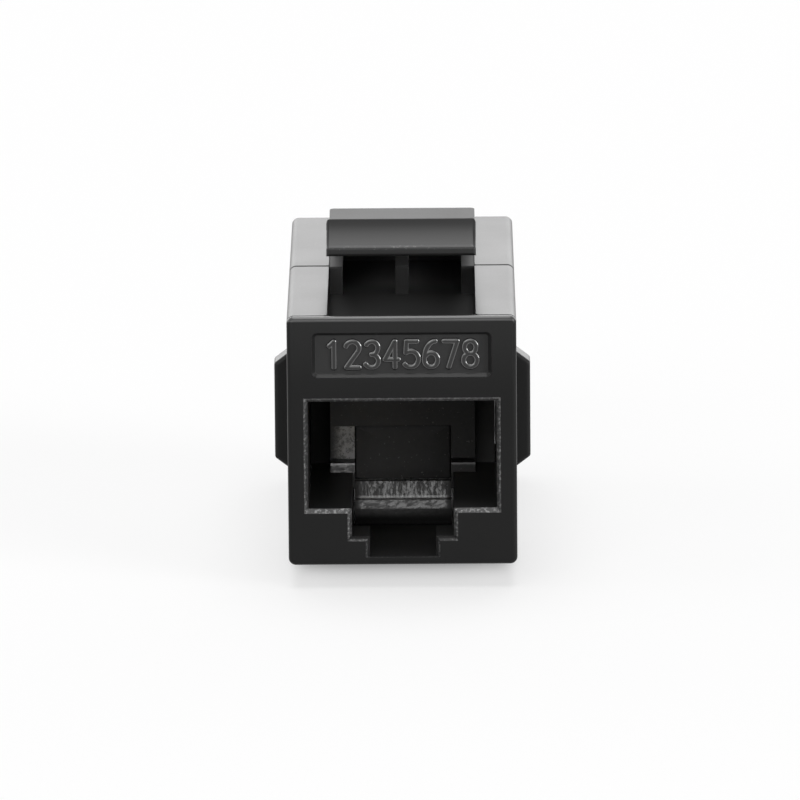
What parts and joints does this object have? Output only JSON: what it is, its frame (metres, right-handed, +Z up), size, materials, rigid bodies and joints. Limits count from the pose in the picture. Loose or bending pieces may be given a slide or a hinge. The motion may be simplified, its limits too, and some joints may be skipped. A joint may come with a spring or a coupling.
{
  "type": "keystone coupler",
  "caption": "Snap-in keystone coupler with a modular plug socket at each end, a sprung latch lever on top and side ears that stop against the panel.",
  "frame": {"origin": "middle of the length and width, on the surface that the lug and the foot rest on", "axes": "+X across the port, +Y from the front port to the rear port, +Z up through the latch lever"},
  "size_m": [0.0164, 0.031, 0.0222],
  "materials": {
    "housing_black": "satin moulded",
    "carrier_black": "fine grain",
    "board_green": "solder mask",
    "contact_gold": "gold plated"
  },
  "bodies": {
    "housing": {"front_housing": "housing_black", "rear_housing": "housing_black", "front_contact_carrier": "carrier_black", "rear_contact_carrier": "carrier_black", "circuit_board": "board_green", "front_contact_1": "contact_gold", "front_contact_2": "contact_gold", "front_contact_3": "contact_gold", "front_contact_4": "contact_gold", "front_contact_5": "contact_gold", "front_contact_6": "contact_gold", "front_contact_7": "contact_gold", "front_contact_8": "contact_gold", "rear_contact_1": "contact_gold", "rear_contact_2": "contact_gold", "rear_contact_3": "contact_gold", "rear_contact_4": "contact_gold", "rear_contact_5": "contact_gold", "rear_contact_6": "contact_gold", "rear_contact_7": "contact_gold", "rear_contact_8": "contact_gold"},
    "lever": {"latch_lever": "housing_black"}
  },
  "joints": [
    {"name": "latch_press", "type": "hinge", "parent": "housing", "child": "lever", "pos_m": [0, 0.0104, 0.018], "axis": [1, 0, 0], "range_deg": [0, 7], "stiffness_Nm_per_rad": 0.02}
  ]
}
